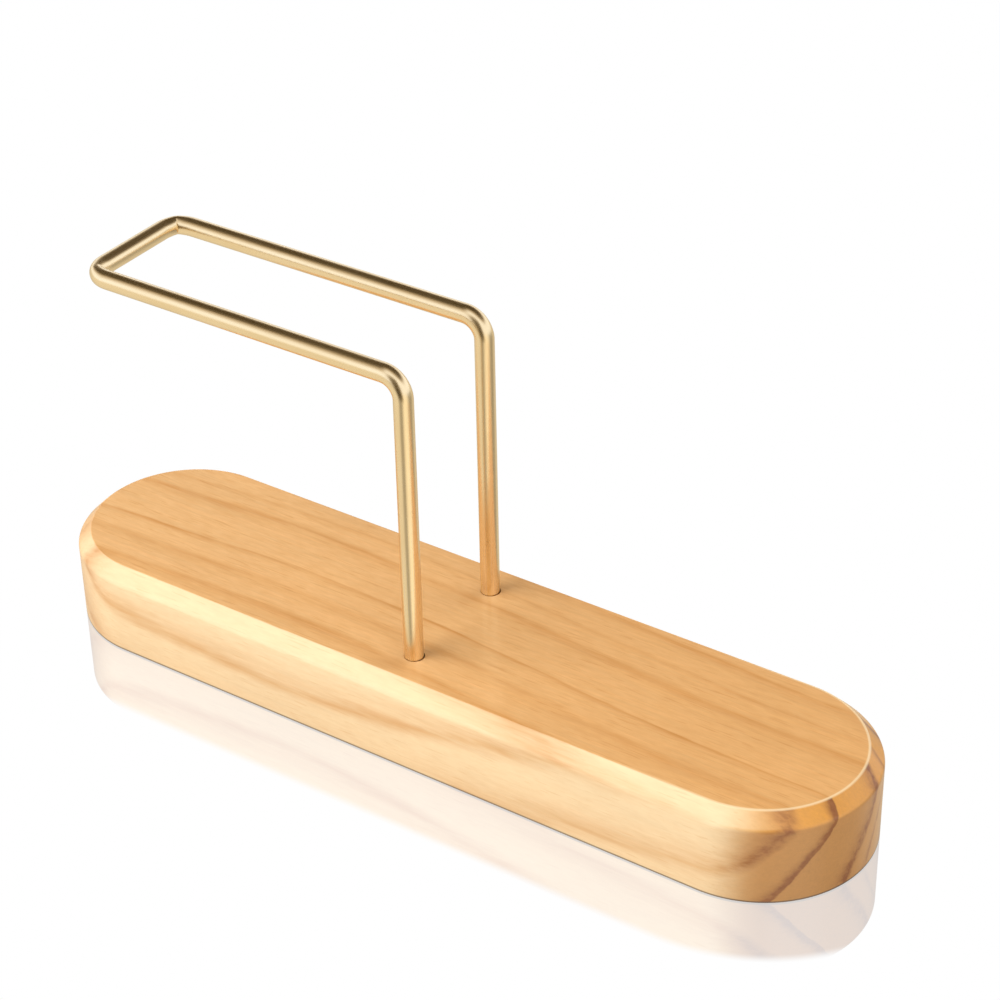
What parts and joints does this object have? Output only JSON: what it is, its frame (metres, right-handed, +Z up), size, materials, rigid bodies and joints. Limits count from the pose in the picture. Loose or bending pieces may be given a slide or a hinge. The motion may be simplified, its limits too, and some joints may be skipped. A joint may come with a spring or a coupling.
{
  "type": "coffee filter paper stand",
  "caption": "Countertop stand for cone coffee filter papers: a solid pine base with half-round ends and a plug-in frame of bent brass wire that keeps the papers standing on edge.",
  "frame": {"origin": "centre of the base's flat underside", "axes": "+X along the base towards the end without the frame, +Y across it towards the rear leg, +Z up"},
  "size_m": [0.2, 0.05, 0.0912],
  "materials": {
    "pine": "satin clear lacquer over pine, lengthwise grain, end grain at the round ends",
    "brass_wire": "polished round wire"
  },
  "bodies": {
    "base": {"wood_base": "pine"},
    "frame": {"wire_frame": "brass_wire"}
  },
  "joints": [
    {"name": "frame_lift", "type": "slide", "parent": "base", "child": "frame", "axis": [0, 0, 1], "range_m": [0, 0.015]}
  ]
}
